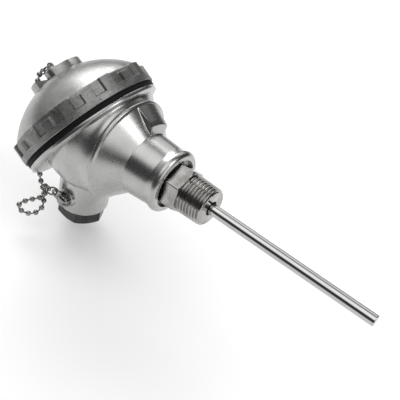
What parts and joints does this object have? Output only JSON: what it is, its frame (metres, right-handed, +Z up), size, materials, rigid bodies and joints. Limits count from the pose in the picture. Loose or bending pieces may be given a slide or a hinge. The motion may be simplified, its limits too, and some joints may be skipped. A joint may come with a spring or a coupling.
{
  "type": "thermocouple probe",
  "caption": "Thermocouple probe: a slim closed sheath and hexagon nipple in a cast connection head with a domed screw cap, a cable gland and a retaining bead chain.",
  "frame": {"origin": "on the probe's axis in the front face of the nipple's hexagon, where the process thread starts", "axes": "+X along the probe to its tip, +Z up; the conduit stub points along -Z and the cap leans back from the probe's axis by thirty degrees"},
  "size_m": [0.2175, 0.08, 0.1011],
  "materials": {
    "cast_aluminium": "die cast, satin, lightly blasted",
    "machined_aluminium": "turned and milled",
    "stainless": "turned stainless steel",
    "stainless_tube": "drawn, bright",
    "plated_screw": "bright plated",
    "bright_wire": "bright plated",
    "bead_chain": "bright plated beads",
    "terminal_brass": "machined",
    "wire_alloy": "drawn wire",
    "black_rubber": "moulded, matte",
    "ceramic": "fired ceramic"
  },
  "bodies": {
    "root": {"head_body": "cast_aluminium", "cap_gasket": "black_rubber", "chain_end_ring": "bright_wire", "chain_tab": "bright_wire", "chain_screw": "plated_screw", "chain_washer": "plated_screw", "gland_seal": "black_rubber", "hex_nipple": "stainless", "probe_sheath": "stainless_tube", "sheath_insulation": "ceramic", "positive_wire": "wire_alloy", "negative_wire": "wire_alloy", "measuring_junction": "wire_alloy", "terminal_block": "ceramic", "block_standoff_left": "plated_screw", "block_standoff_right": "plated_screw", "block_screw_left": "plated_screw", "block_screw_right": "plated_screw", "terminal_bar_positive": "terminal_brass", "terminal_bar_negative": "terminal_brass", "terminal_screw_positive_a": "plated_screw", "terminal_screw_positive_b": "plated_screw", "terminal_screw_negative_a": "plated_screw", "terminal_screw_negative_b": "plated_screw"},
    "cap_carrier": {"chain_swivel": "cast_aluminium", "chain_top_ring": "bright_wire", "ball_chain": "bead_chain"},
    "cap": {"screw_cap": "cast_aluminium"},
    "gland_carrier": {"gland_washer": "plated_screw"},
    "gland": {"gland_nut": "machined_aluminium"}
  },
  "joints": [
    {"name": "cap_lift", "type": "slide", "parent": "root", "child": "cap_carrier", "axis": [-0.866, 0, 0.5], "range_m": [0, 0.0075], "deforming": ["ball_chain"]},
    {"name": "cap_turn", "type": "hinge", "parent": "cap_carrier", "child": "cap", "pos_m": [-0.0655, 0, 0], "axis": [-0.866, 0, 0.5], "range_deg": [0, 1080]},
    {"name": "gland_draw", "type": "slide", "parent": "root", "child": "gland_carrier", "axis": [0, 0, -1], "range_m": [0, 0.006]},
    {"name": "gland_turn", "type": "hinge", "parent": "gland_carrier", "child": "gland", "pos_m": [-0.0655, 0, -0.05], "axis": [0, 0, -1], "range_deg": [0, 1440]}
  ],
  "couplings": [
    {"joint": "cap_turn", "follows": "cap_lift", "rad_per_m": 2513.3},
    {"joint": "gland_turn", "follows": "gland_draw", "rad_per_m": 4188.8}
  ]
}
